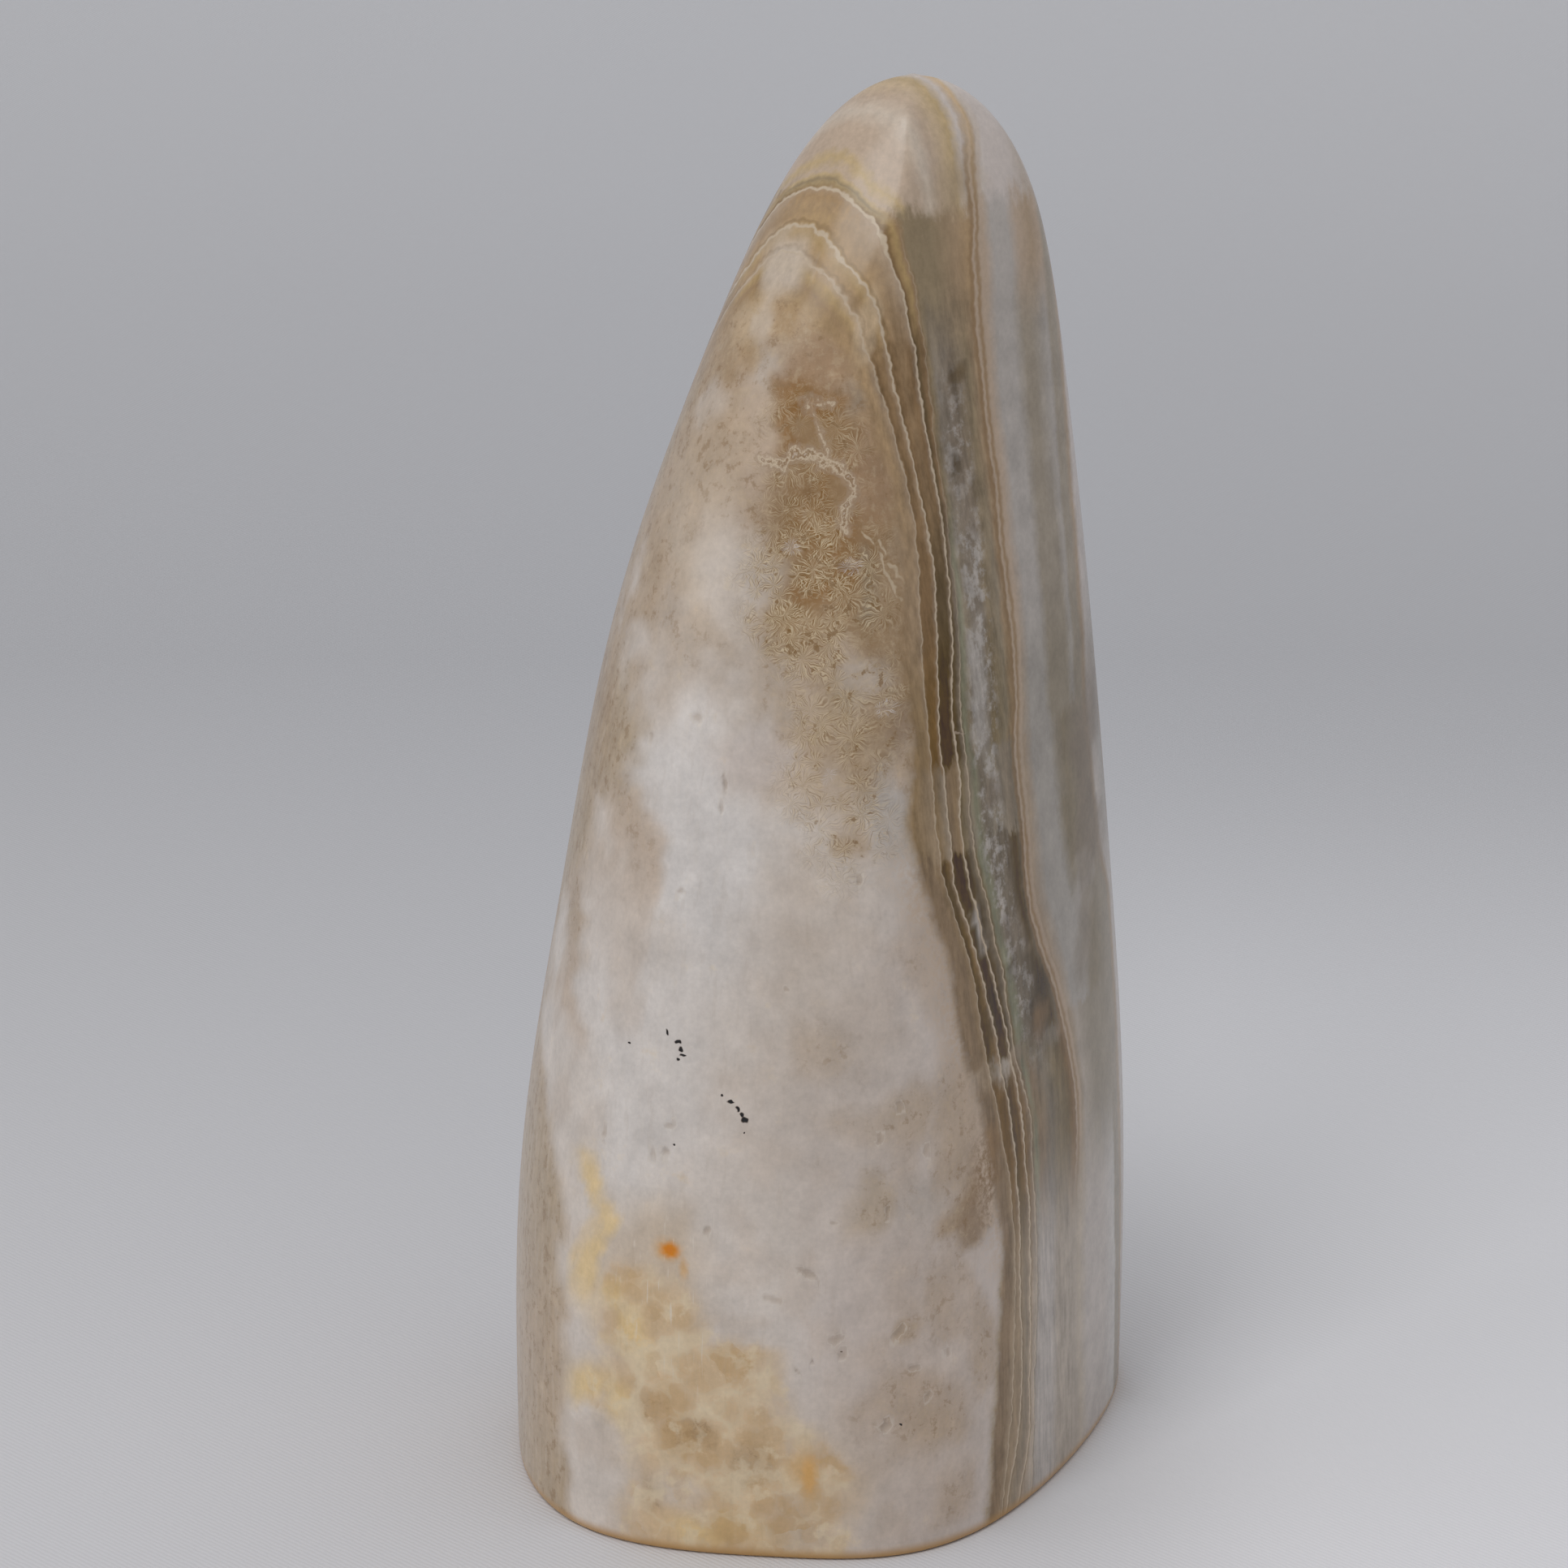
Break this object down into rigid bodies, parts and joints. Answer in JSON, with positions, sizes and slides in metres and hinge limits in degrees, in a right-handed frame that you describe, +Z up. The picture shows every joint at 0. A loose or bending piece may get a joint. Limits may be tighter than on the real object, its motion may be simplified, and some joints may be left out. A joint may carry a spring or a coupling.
{
  "type": "polished aragonite freeform",
  "caption": "Tall polished standing stone of banded aragonite, tapering to a rounded tip that leans to one side, with soft ridges and a flat sawn foot.",
  "frame": {"origin": "on the flat foot, under the middle of the stone's box", "axes": "+Z up from the foot to the tip, -Y towards the pale front face, +X towards the banded right side"},
  "size_m": [0.0556, 0.0544, 0.124],
  "materials": {
    "aragonite": "polished, banded white, lilac-grey, tan and olive-brown, with a honey patch low on the front"
  },
  "bodies": {
    "root": {"stone": "aragonite"}
  },
  "joints": []
}
